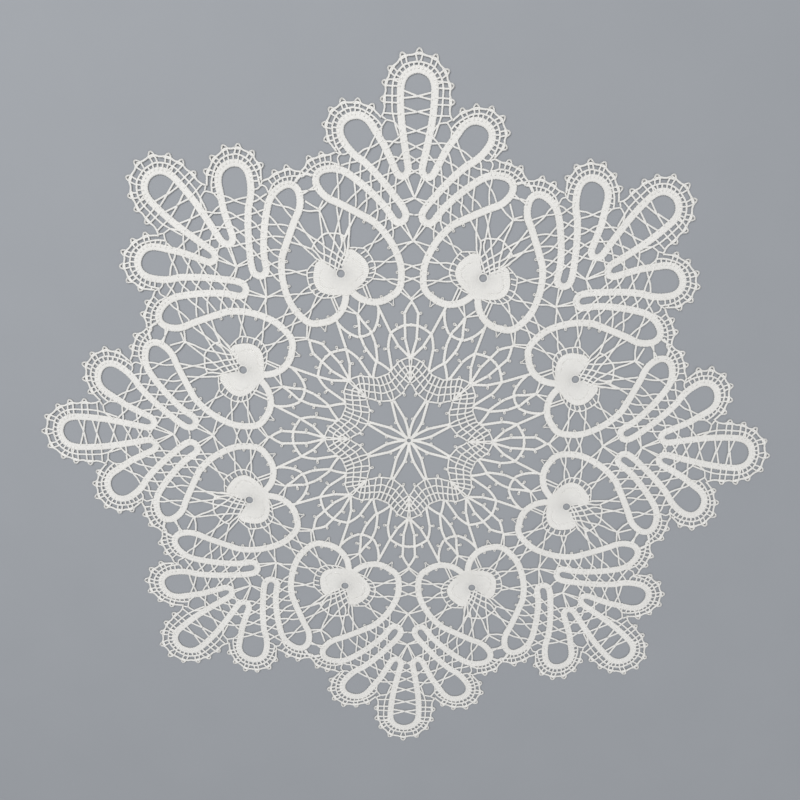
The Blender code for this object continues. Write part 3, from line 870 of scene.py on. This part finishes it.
@dataclass
class CrossedPairs:
    """Twisted pairs that cross in the gaps between the runs of tape."""

    thread: float = 0.57 * MILLI
    step: float = 0.9 * MILLI
    reach: float = 6.0
    bow: float = 0.18
    stray: float = 0.9
    crossing_stray: float = 0.035
    knot_at: float = 0.56 * MILLI
    knot_wide: float = 0.58 * MILLI
    knot_high: float = 0.42 * MILLI
    finish: Linen = Linen("linen_twisted_pair", 0.95, 1.0, 0.00010)

    def leg(self, pile: Pile, copy: Copy, plan: np.ndarray, lie: tuple[Lie, ...],
            rng: np.random.Generator) -> None:
        """Lay one thread.

        Args:
            pile: where it goes.
            copy: which half repeat it belongs to.
            plan: rows of across and out.
            lie: how high it lies at each row.
            rng: source of the small unevenness.
        """
        rows = plan + rng.normal(0.0, self.stray, plan.shape)
        heights = np.array([one.value for one in lie])[:, None]
        line = resampled(np.concatenate([copy.place(rows), heights * MILLI], axis=1), self.step)
        n = len(line)
        wobble = 1.0 + rng.normal(0.0, 0.05, n)
        pile.tube(eased(line, 2), self.thread * wobble, 0.86 * self.thread * wobble)

    def cross(self, pile: Pile, copy: Copy, row: tuple[float, ...],
              rng: np.random.Generator) -> None:
        """Lay two pairs that cross and the small knot where they do."""
        x0, y0, x1, y1, spread, where = row
        a, b = np.array([x0, y0], float), np.array([x1, y1], float)
        d = (b - a) / np.hypot(*(b - a))
        side = np.array([d[1], -d[0]]) * spread / 2.0
        middle = a + (b - a) * (where + rng.normal(0.0, self.crossing_stray))
        for sign, lie in ((1.0, Lie.OVER), (-1.0, Lie.UNDER)):
            arms = []
            for end, out in ((a + side * sign, side * sign), (b - side * sign, -side * sign)):
                away = (end - middle) / np.hypot(*(end - middle))
                bowed = (end + middle) / 2.0 + out * self.bow
                arms.append((end + away * self.reach, bowed))
            self.leg(pile, copy, np.array([*arms[0], middle, *arms[1][::-1]]),
                     (Lie.INTO, Lie.LEVEL, lie, Lie.LEVEL, Lie.INTO), rng)
        knot = copy.place(middle[None, :])[0]
        pile.bead(np.array([*knot, self.knot_at]), self.knot_wide, self.knot_high)

    def work(self, pile: Pile, copy: Copy, rng: np.random.Generator) -> None:
        """Lay the pairs of one half repeat.

        Args:
            pile: where they go.
            copy: which half repeat.
            rng: source of the small unevenness.
        """
        pile.take(self.finish)
        level = (Lie.LEVEL, Lie.LEVEL)
        petal = from_fan(pairs_of(sum(PETAL_PAIRS, ()))).reshape(-1, 4)
        for row in CROSSED:
            self.cross(pile, copy, row, rng)
        for row in PAIRS:
            self.leg(pile, copy, np.array(row, float).reshape(2, 2), level, rng)
        for row in petal:
            self.leg(pile, copy, row.reshape(2, 2), (Lie.INTO, Lie.LEVEL), rng)


@dataclass(frozen=True)
class EdgeRun:
    """The edging round one petal, in plan from the heart axis."""

    outer: np.ndarray
    middle: np.ndarray
    tips: np.ndarray
    rungs: np.ndarray
    dip: float
    rung_rows: int
    laddered: slice


@dataclass
class Edging:
    """The net of pairs round the petals, with its picots."""

    thread: float = 0.60 * MILLI
    middle_thread: float = 0.58 * MILLI
    inner: float = 0.52 * MILLI
    picot_thread: float = 0.56 * MILLI
    small_thread: float = 0.42 * MILLI
    step: float = 0.85 * MILLI
    tent: float = 6.0
    crest: float = 3.6
    rung_pitch: float = 14.5
    ladder: float = 6.2
    least_reach: float = 10.8
    tent_reach: float = 15.0
    tip_stray: float = 0.5
    picot_at: float = 0.50 * MILLI
    picot_loop: float = 0.92 * MILLI
    picot_base: float = 2.25 * MILLI
    picot_open: float = 64.0
    finish: Linen = Linen("linen_edging", 0.9, 1.0, 0.00010)

    @staticmethod
    def nearest(line: np.ndarray, point: np.ndarray) -> np.ndarray:
        """The point of a line that is nearest to another point."""
        fine = resampled(line, 0.5)
        return fine[int(np.hypot(*(fine - point).T).argmin())]

    def tented(self, run: EdgeRun) -> np.ndarray:
        """Draw the outer thread up towards each picot.

        Args:
            run: the edging of one petal.

        Returns:
            The outer thread, which dips between its picots.
        """
        line = resampled(run.outer, 2.0)
        for row, point in enumerate(line):
            inward = self.nearest(run.middle, point) - point
            line[row] = point + inward * (run.dip / max(float(np.hypot(*inward)), run.dip))
        for tip in run.tips:
            foot = self.nearest(run.outer, tip)
            away = (tip - foot) / max(float(np.hypot(*(tip - foot))), TINY)
            gap = np.hypot(*(line - foot).T)
            lift = np.clip(self.tent * (1.0 - gap / self.tent_reach), 0.0, self.crest)
            line = line + away * lift[:, None]
        return line

    @staticmethod
    def runs() -> tuple[EdgeRun, ...]:
        """The edging of the three petals of a half repeat."""
        one = [from_fan(pairs_of(t)) for t in (EDGE_OUTER_1, EDGE_MIDDLE_1, EDGE_TIPS_1,
                                               EDGE_RUNGS_1)]
        two = [pairs_of(t) for t in (EDGE_OUTER_2, EDGE_MIDDLE_2, EDGE_TIPS_2, EDGE_RUNGS_2)]
        three = [pairs_of(t) for t in (EDGE_OUTER_3, EDGE_MIDDLE_3, EDGE_TIPS_3, EDGE_RUNGS_3)]
        return (EdgeRun(*one, dip=1.0, rung_rows=7, laddered=slice(1, 3)),
                EdgeRun(*two, dip=3.2, rung_rows=14, laddered=slice(0, 6)),
                EdgeRun(*three, dip=1.2, rung_rows=8, laddered=slice(0, 2)))

    def rungs_of(self, run: EdgeRun, drawn: np.ndarray) -> list[np.ndarray]:
        """Find the rungs of the outer band of one petal.

        Args:
            run: the edging of the petal.
            drawn: its outer thread in plan.

        Returns:
            Both ends of each rung: two side by side under a picot, and the single ones.
        """
        ends = [np.array([self.nearest(drawn, place), self.nearest(run.middle, place)])
                for place in run.rungs]
        for tip in run.tips[run.laddered]:
            foot, root = self.nearest(run.outer, tip), self.nearest(run.middle, tip)
            away = (tip - foot) / max(float(np.hypot(*(tip - foot))), TINY)
            side = np.array([away[1], -away[0]]) * self.ladder
            ends += [np.array([self.nearest(drawn, foot + side * sign),
                               self.nearest(run.middle, root + side * sign)])
                     for sign in (-1.0, 1.0)]
        return ends

    def lay(self, pile: Pile, copy: Copy, plan: np.ndarray, half: float, z: float,
            rng: np.random.Generator) -> None:
        """Lay one thread of the edging.

        Args:
            pile: where it goes.
            copy: which half repeat it belongs to.
            plan: rows of across and out.
            half: half thickness in metres.
            z: height of its middle in metres.
            rng: source of the small unevenness.
        """
        line = resampled(copy.place(plan), self.step)
        line = eased(line + rng.normal(0.0, 0.04 * MILLI, line.shape), 1)
        path = np.concatenate([line, np.full((len(line), 1), z)], axis=1)
        wobble = 1.0 + rng.normal(0.0, 0.05, len(line))
        pile.tube(path, half * wobble, 0.86 * half * wobble)

    def picots(self, pile: Pile, copy: Copy, drawn: np.ndarray, tips: np.ndarray,
               rng: np.random.Generator) -> None:
        """Work the picots of one petal.

        Args:
            pile: where they go.
            copy: which half repeat.
            drawn: the outer thread in plan.
            tips: tips of the picots in plan.
            rng: source of the small unevenness.
        """
        for tip in tips:
            on_axis = abs(math.atan2(tip[0], tip[1]) - HALF_ANGLE) < 1e-3
            if on_axis and copy.mirrored:
                continue
            foot = self.nearest(drawn, tip)
            far = max(float(np.hypot(*(tip - foot))), TINY)
            away = (tip - foot) / far
            end = foot + away * max(far, self.least_reach)
            ends = copy.place(np.array([foot - away * self.crest,
                                        end + rng.normal(0.0, self.tip_stray, 2)]))
            pile.picot(ends[0], ends[1], self.picot_thread, self.picot_at, self.picot_loop,
                       self.picot_base, self.picot_open)

    def work(self, pile: Pile, copy: Copy, rng: np.random.Generator) -> None:
        """Work the edging of one half repeat.

        Args:
            pile: where it goes.
            copy: which half repeat.
            rng: source of the small unevenness.
        """
        pile.take(self.finish)
        tape = chain(TAPE_START, TAPE)
        for run in self.runs():
            drawn = self.tented(run)
            self.lay(pile, copy, drawn, self.thread, 0.50 * MILLI, rng)
            self.lay(pile, copy, run.middle, self.middle_thread, 0.48 * MILLI, rng)
            for ends in self.rungs_of(run, drawn):
                self.lay(pile, copy, ends, self.inner, 0.54 * MILLI, rng)
            for place in resampled(run.middle[:run.rung_rows], self.rung_pitch)[:-1]:
                ends = np.array([place, self.nearest(tape, place)])
                self.lay(pile, copy, ends, self.inner, 0.50 * MILLI, rng)
            self.picots(pile, copy, drawn, run.tips, rng)
        for row in EDGE_FLANK_1:
            self.lay(pile, copy, from_fan(pairs_of(row)), self.inner, 0.52 * MILLI, rng)
        for flat in VALLEYS:
            self.lay(pile, copy, pairs_of(flat), self.inner, 0.46 * MILLI, rng)
        for x0, y0, x1, y1 in TAPE_PICOTS:
            ends = copy.place(np.array([(x0, y0), (x1, y1)], float))
            pile.picot(ends[0], ends[1], self.small_thread, 0.46 * MILLI)
        ends = copy.place(pairs_of(LOBE_PICOT))
        pile.picot(ends[0], ends[1], self.small_thread, 0.46 * MILLI, 0.50 * MILLI, 2.0 * MILLI)


@dataclass
class Plaits:
    """Plaits of the middle with their picots and crossings."""

    half: float = 0.86 * MILLI
    rise: float = 0.84 * MILLI
    step: float = 0.60 * MILLI
    lap: float = 1.80 * MILLI
    picot_thread: float = 0.40 * MILLI
    finish: Linen = Linen("linen_plait", 0.80, 2.0, 0.00009)

    def profile(self) -> np.ndarray:
        """Round the plait: place across from -1 to 1 and height in metres."""
        r = self.rise
        return np.array([
            (-0.55, 0.05 * MILLI), (0.55, 0.05 * MILLI), (1.0, 0.48 * r), (0.72, 0.88 * r),
            (0.30, r), (0.0, 0.86 * r), (-0.30, r), (-0.72, 0.88 * r), (-1.0, 0.48 * r),
        ])

    def plait(self, pile: Pile, line: np.ndarray, rng: np.random.Generator) -> None:
        """Work one plait.

        Args:
            pile: where it goes.
            line: its middle, rows of x and y in metres.
            rng: source of the small unevenness.
        """
        line = resampled(line, self.step)
        n = len(line)
        gone = np.arange(n) * self.step
        beat = 2.0 * math.pi * gone / self.lap + rng.uniform(0.0, 6.28)
        left, right = np.sin(beat), np.sin(beat + math.pi)
        wide = self.half * (1.0 + 0.13 * np.stack([left, right], axis=1))
        profile = self.profile()
        across = profile[:, 0]
        phase = beat[:, None] + np.where(across[None, :] < 0.0, 0.0, math.pi)
        phase = phase + 2.6 * np.abs(across[None, :])
        top = profile[:, 1] > 0.3 * self.rise
        relief = np.where(top[None, :], 0.085 * MILLI * np.sin(phase), 0.0)
        path = np.concatenate([line, np.full((n, 1), 0.02 * MILLI)], axis=1)
        pile.ribbon(path, profile, wide, relief)

    def work(self, pile: Pile, copy: Copy, rng: np.random.Generator) -> None:
        """Work the plaits of one half repeat.

        Args:
            pile: where they go.
            copy: which half repeat.
            rng: source of the small unevenness.
        """
        pile.take(self.finish)
        for x0, y0, x1, y1, bulge in PLAITS:
            self.plait(pile, copy.place(bowed((x0, y0), (x1, y1), bulge)), rng)
        for x0, y0, x1, y1 in (*PLAIT_PICOTS, *NET_PICOTS):
            ends = copy.place(np.array([(x0, y0), (x1, y1)], float))
            pile.picot(ends[0], ends[1], self.picot_thread, 0.5 * MILLI, 0.56 * MILLI,
                       0.15 * MILLI)


@dataclass
class NetRing:
    """The eight-pointed ring of net round the star in the middle."""

    thread: float = 0.56 * MILLI
    step: float = 0.8 * MILLI
    finish: Linen = Linen("linen_net", 0.9, 1.0, 0.00010)

    def work(self, pile: Pile, copy: Copy, rng: np.random.Generator) -> None:
        """Work the ring of one half repeat.

        Args:
            pile: where it goes.
            copy: which half repeat.
            rng: source of the small unevenness.
        """
        pile.take(self.finish)
        for rows, z in ((NET_RADIALS, 0.58), (NET_CROSSES, 0.44)):
            for flat in rows:
                line = eased(resampled(copy.place(pairs_of(flat)), self.step), 1)
                path = np.concatenate([line, np.full((len(line), 1), z * MILLI)], axis=1)
                wobble = 1.0 + rng.normal(0.0, 0.06, len(line))
                pile.tube(path, self.thread * wobble, 0.8 * self.thread * wobble)


@dataclass
class Leaves:
    """The close-woven leaf that fills the middle of each heart."""

    rows: int = 18
    sectors: int = 84
    notch: float = 35.0
    rise: float = 0.86 * MILLI
    ridge: float = 0.10 * MILLI
    pit: float = 0.76 * MILLI
    finish: Linen = Linen("linen_leaf", 0.62, 1.0, 0.00012)
    line: float = 0.50 * MILLI
    ring: float = 0.50 * MILLI

    def reach(self, turns: np.ndarray) -> np.ndarray:
        """How far the edge is from the hole in each direction.

        Args:
            turns: directions in radians from the heart axis.

        Returns:
            Distances in thousandths of the radius.
        """
        rel = resampled(pairs_of(LEAF_OUTLINE), 1.0) - np.array(LEAF_PIVOT)
        angle, far = np.arctan2(rel[:, 0], rel[:, 1]), np.hypot(rel[:, 0], rel[:, 1])
        return np.interp(np.minimum(turns, 2.0 * math.pi - turns), angle, far)

    @staticmethod
    def pits(turns: np.ndarray, share: np.ndarray) -> np.ndarray:
        """Where the weave opens into small holes, in arcs on both lobes.

        Args:
            turns: directions in radians from the heart axis.
            share: places from the hole to the edge, 0 to 1.

        Returns:
            A number from 0 to 1 for each direction and place.
        """
        aside = np.degrees(np.minimum(turns, 2.0 * math.pi - turns))[:, None]
        row = np.arange(len(share))[None, :]
        arc = np.round((0.60 + 0.12 * np.cos(np.radians((aside - 95.0) * 2.4))) * len(share))
        turned = np.arange(len(turns))[:, None] % 2 == 0
        return np.where((row == arc) & turned & (aside > 58.0) & (aside < 135.0), 1.0, 0.0)

    def leaf(self, pile: Pile, turn: int, rng: np.random.Generator) -> None:
        """Weave one leaf.

        Args:
            pile: where it goes.
            turn: which of the eight.
            rng: source of the small unevenness.
        """
        turns = np.radians(np.linspace(self.notch, 360.0 - self.notch, self.sectors))
        share = np.linspace(0.0, 1.0, 2 * self.rows + 1)
        under = np.array([0.93, 0.5, 0.07])
        far = self.reach(turns)[:, None]
        radius = LEAF_HOLE + (far - LEAF_HOLE) * np.concatenate([share, under])[None, :]
        spokes = np.stack([np.sin(turns), np.cos(turns)], axis=1)
        plan = np.array(LEAF_PIVOT) + spokes[:, None, :] * radius[:, :, None]
        flat = Copy(turn, False).place(plan.reshape(-1, 2)).reshape(*plan.shape)
        odd = np.arange(len(share)) % 2 == 1
        weave = np.where((np.arange(self.sectors)[:, None] + np.arange(len(share))[None, :] // 2)
                         % 2 == 0, 0.045, -0.045) * MILLI
        relief = np.where(odd, self.ridge, -self.ridge)[None, :] + weave
        relief = relief + rng.normal(0.0, 0.03 * MILLI, weave.shape)
        top = self.rise + relief * np.clip(0.15 + 1.5 * share, 0.0, 1.0)[None, :]
        top = top - self.pit * self.pits(turns, share)
        top[:, 0], top[:, -1] = 0.5 * self.rise, 0.5 * self.rise
        low = np.full((self.sectors, len(under)), 0.05 * MILLI)
        height = np.concatenate([top, low], axis=1)[:, :, None]
        pile.rings(np.concatenate([flat, height], axis=2)[:, ::-1], turns * 8.4)

    def ringed(self, pile: Pile, turn: int) -> None:
        """Lay the thread round the hole of one leaf.

        Args:
            pile: where it goes.
            turn: which of the eight.
        """
        turns = np.radians(np.arange(0.0, 360.0, RING_STEP))
        spokes = np.stack([np.sin(turns), np.cos(turns)], axis=1)
        line = Copy(turn, False).place(np.array(LEAF_PIVOT) + spokes * LEAF_HOLE)
        path = np.concatenate([line, np.full((len(line), 1), 0.50 * MILLI)], axis=1)
        pile.tube(path, self.ring, 0.46 * MILLI, 6, closed=True)

    def work(self, pile: Pile, turn: int, rng: np.random.Generator) -> None:
        """Weave one leaf and the thin line round it.

        Args:
            pile: where it goes.
            turn: which of the eight.
            rng: source of the small unevenness.
        """
        pile.take(self.finish)
        self.leaf(pile, turn, rng)
        self.ringed(pile, turn)
        edging = Edging()
        pile.take(edging.finish)
        for copy in (Copy(turn, False), Copy(turn, True)):
            edging.lay(pile, copy, pairs_of(LEAF_LINE), self.line, 0.46 * MILLI, rng)
            for x0, y0, x1, y1 in LEAF_RUNGS:
                edging.lay(pile, copy, np.array([(x0, y0), (x1, y1)], float), self.line,
                           0.46 * MILLI, rng)


@dataclass
class HeartNet:
    """The net of pairs that hangs from the shoulders of a heart to its leaf."""

    thread: float = 0.60 * MILLI
    step: float = 0.8 * MILLI
    knot: float = 3.2
    knot_at: float = 0.52 * MILLI
    knot_high: float = 0.44 * MILLI
    finish: Linen = CrossedPairs.finish

    def work(self, pile: Pile, turn: int, rng: np.random.Generator) -> None:
        """Work the net of one heart.

        Args:
            pile: where it goes.
            turn: which of the eight.
            rng: source of the small unevenness.
        """
        pile.take(self.finish)
        copy = Copy(turn, False)
        for rows, z in ((HEART_LEFTWARD, 0.46), (HEART_RIGHTWARD, 0.62), ((HEART_RIM,), 0.52)):
            for flat in rows:
                plan = eased(resampled(pairs_of(flat), 3.0), 2)
                plan = plan + rng.normal(0.0, 0.25, plan.shape)
                line = eased(resampled(copy.place(plan), self.step), 1)
                path = np.concatenate([line, np.full((len(line), 1), z * MILLI)], axis=1)
                wobble = 1.0 + rng.normal(0.0, 0.05, len(line))
                pile.tube(path, self.thread * wobble, 0.80 * self.thread * wobble)
        for place in copy.place(pairs_of(HEART_KNOTS)):
            pile.bead(np.array([*place, self.knot_at]), self.knot * UNIT, self.knot_high)


@dataclass
class Knots:
    """Small knots where several pairs are worked together."""

    high: float = 0.46 * MILLI
    ring: float = 7.9
    ring_wide: float = 0.60 * MILLI
    ring_high: float = 0.44 * MILLI
    level: float = 0.50 * MILLI
    finish: Linen = Linen("linen_knot", 0.80, 2.0, 0.00009)

    def work(self, pile: Pile, copy: Copy, rows: tuple[tuple[float, ...], ...]) -> None:
        """Tie the knots of one half repeat.

        Args:
            pile: where they go.
            copy: which half repeat.
            rows: across, out and half width of each.
        """
        pile.take(self.finish)
        for across, out, half in rows:
            if across == 0.0 and copy.mirrored:
                continue
            at = copy.place(np.array([(across, out)], float))[0]
            pile.bead(np.array([*at, self.level]), half * UNIT, self.high)

    def middle(self, pile: Pile) -> None:
        """Work the small ring that holds the plaits in the middle of the cloth."""
        pile.take(self.finish)
        turns = np.radians(np.arange(0.0, 360.0, RING_STEP))
        spokes = np.stack([np.sin(turns), np.cos(turns)], axis=1)
        line = Copy(0, False).place(self.ring * spokes)
        path = np.concatenate([line, np.full((len(line), 1), self.level)], axis=1)
        pile.tube(path, self.ring_wide, self.ring_high, 6, closed=True)


@dataclass
class Cloth:
    """The whole table cloth: eight fans round the middle, each one mesh."""

    fan_flat: tuple[float, float] = (0.127, 0.135)
    fan_covered: float = 0.0092
    middle_flat: tuple[float, float] = (0.165, 0.165)
    middle_covered: float = 0.0120
    edge_of_middle: float = 376.0

    def knots(self, inside: bool) -> tuple[tuple[float, ...], ...]:
        """The knots of the middle, or those of the fans."""
        return tuple(row for row in KNOTS if (row[1] < self.edge_of_middle) == inside)

    def fan(self, turn: int, rng: np.random.Generator) -> Pile:
        """Work one fan, from the middle of one heart to that of the next.

        Args:
            turn: which of the eight.
            rng: source of the small unevenness.

        Returns:
            The mesh in the making.
        """
        pile = Pile(f"fan_{turn + 1}")
        Tape().work(pile, turn, rng)
        for copy in (Copy(turn, False), Copy((turn + 1) % REPEATS, True)):
            CrossedPairs().work(pile, copy, rng)
            Edging().work(pile, copy, rng)
            Knots().work(pile, copy, self.knots(False))
        Leaves().work(pile, turn, rng)
        HeartNet().work(pile, turn, rng)
        return pile

    def middle(self, rng: np.random.Generator) -> Pile:
        """Work the star, the ring of net and the plaits round it.

        Args:
            rng: source of the small unevenness.

        Returns:
            The mesh in the making.
        """
        pile = Pile("middle")
        for turn in range(REPEATS):
            for copy in (Copy(turn, False), Copy(turn, True)):
                Plaits().work(pile, copy, rng)
                NetRing().work(pile, copy, rng)
                Knots().work(pile, copy, self.knots(True))
        Knots().middle(pile)
        return pile

    def build(self) -> None:
        """Work every part of the lace and tell the frame about it."""
        rng = np.random.default_rng(SEED)
        materials = {finish: finish.material() for finish in (
            Tape.finish, CrossedPairs.finish, Edging.finish, Plaits.finish, NetRing.finish,
            Leaves.finish, Knots.finish)}
        parts = [(self.middle(rng), self.middle_flat, self.middle_covered)]
        parts += [(self.fan(turn, rng), self.fan_flat, self.fan_covered)
                  for turn in range(REPEATS)]
        for pile, flat, covered in parts:
            piece = pile.dressed(materials)
            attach(piece, "root")
            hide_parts("lace")
            LOG.info("%s: %d triangles", piece.name, pile.triangles())


@dataclass
class Studio:
    """A plain pale floor, soft light and the camera."""

    floor_size: float = 6.0
    lens: float = 32.53
    roll: float = -1.22
    tilt: float = 15.06
    azimuth: float = 1.67
    moved: tuple[float, float, float] = (0.0249, -0.1117, -2.0074)

    def floor(self) -> None:
        """Lay the pale floor just under the cloth."""
        half = self.floor_size / 2.0
        mesh = bpy.data.meshes.new("floor")
        corners = [(-half, -half, 0.0), (half, -half, 0.0), (half, half, 0.0), (-half, half, 0.0)]
        mesh.from_pydata(corners, [], [(0, 1, 2, 3)])
        material = bpy.data.materials.new("pale_floor")
        material.use_nodes = True
        tree = material.node_tree
        shader = tree.nodes["Principled BSDF"]
        shader.inputs["Roughness"].default_value = 0.9
        place = tree.nodes.new("ShaderNodeTexCoord")
        grain = Linen.noise(tree, place, 24.0, 4.0)
        blend = tree.nodes.new("ShaderNodeMix")
        blend.data_type = "RGBA"
        blend.inputs["A"].default_value = (0.32, 0.335, 0.355, 1.0)
        blend.inputs["B"].default_value = (0.34, 0.355, 0.375, 1.0)
        tree.links.new(grain, blend.inputs["Factor"])
        tree.links.new(blend.outputs["Result"], shader.inputs["Base Color"])
        mesh.materials.append(material)
        plane = bpy.data.objects.new("floor", mesh)
        plane.location.z = -0.0001
        bpy.context.collection.objects.link(plane)

    def lights(self) -> None:
        """Hang one large soft light overhead and fill from all round."""
        world = bpy.data.worlds.new("studio")
        world.use_nodes = True
        world.node_tree.nodes["Background"].inputs["Color"].default_value = (0.93, 0.95, 1.0, 1.0)
        world.node_tree.nodes["Background"].inputs["Strength"].default_value = 0.40
        bpy.context.scene.world = world
        for name, size, power, x, y, z in (
            ("overhead", 1.0, 12.0, -0.45, 0.55, 1.1),
            ("side", 0.9, 3.0, 0.8, -0.5, 0.9),
        ):
            lamp = bpy.data.lights.new(name, "AREA")
            lamp.shape, lamp.size, lamp.energy = "SQUARE", size, power
            holder = bpy.data.objects.new(name, lamp)
            bpy.context.collection.objects.link(holder)
            back = Matrix.Identity(3)
            axis = np.array([x, y, z]) / math.sqrt(x * x + y * y + z * z)
            side = np.cross([0.0, 1.0, 0.0], axis)
            side /= np.linalg.norm(side)
            up = np.cross(axis, side)
            for row in range(3):
                back[row][0], back[row][1], back[row][2] = side[row], up[row], axis[row]
            holder.matrix_world = Matrix.Translation((x, y, z)) @ back.to_4x4()

    def seen(self, point: tuple[float, float, float]) -> np.ndarray:
        """Where a point of the cloth is as the camera sees it.

        Args:
            point: x, y, z in metres.

        Returns:
            Right, up and back from the camera, in metres.
        """
        x = point[0] / RADIUS + BOX_MIDDLE[0] / 1000.0
        y = point[1] / RADIUS + BOX_MIDDLE[1] / 1000.0
        h = point[2] / RADIUS
        roll, tilt, azimuth = (math.radians(a) for a in (self.roll, self.tilt, self.azimuth))
        x, y = (math.cos(roll) * x - math.sin(roll) * y, math.sin(roll) * x + math.cos(roll) * y)
        d0, d1 = math.sin(azimuth), math.cos(azimuth)
        along, across = x * d0 + y * d1, x * d1 - y * d0
        back = math.sin(tilt) * along + math.cos(tilt) * h
        along = math.cos(tilt) * along - math.sin(tilt) * h
        place = np.array([along * d0 + across * d1, along * d1 - across * d0, back])
        return (place + np.array(self.moved)) * RADIUS

    def camera(self) -> None:
        """Set the camera where the photograph was taken from."""
        origin = self.seen((0.0, 0.0, 0.0))
        columns = [self.seen(tuple(row)) - origin for row in np.eye(3)]
        view = Matrix.Identity(4)
        for row in range(3):
            for column in range(3):
                view[row][column] = float(columns[column][row])
            view[row][3] = float(origin[row])
        data = bpy.data.cameras.new("camera")
        data.sensor_width, data.lens = 36.0, self.lens
        data.clip_start, data.clip_end = 0.01, 20.0
        camera = bpy.data.objects.new("camera", data)
        camera.matrix_world = view.inverted()
        bpy.context.collection.objects.link(camera)
        bpy.context.scene.camera = camera

    def build(self) -> None:
        """Set up floor, lights and camera."""
        bpy.context.scene.view_settings.view_transform = "Standard"
        self.floor()
        self.lights()
        self.camera()


def main() -> None:
    """Build the studio and the cloth in it."""
    logging.basicConfig(level=logging.INFO, format="%(name)s %(message)s")
    Studio().build()
    Cloth().build()


if __name__ == "__main__":
    main()
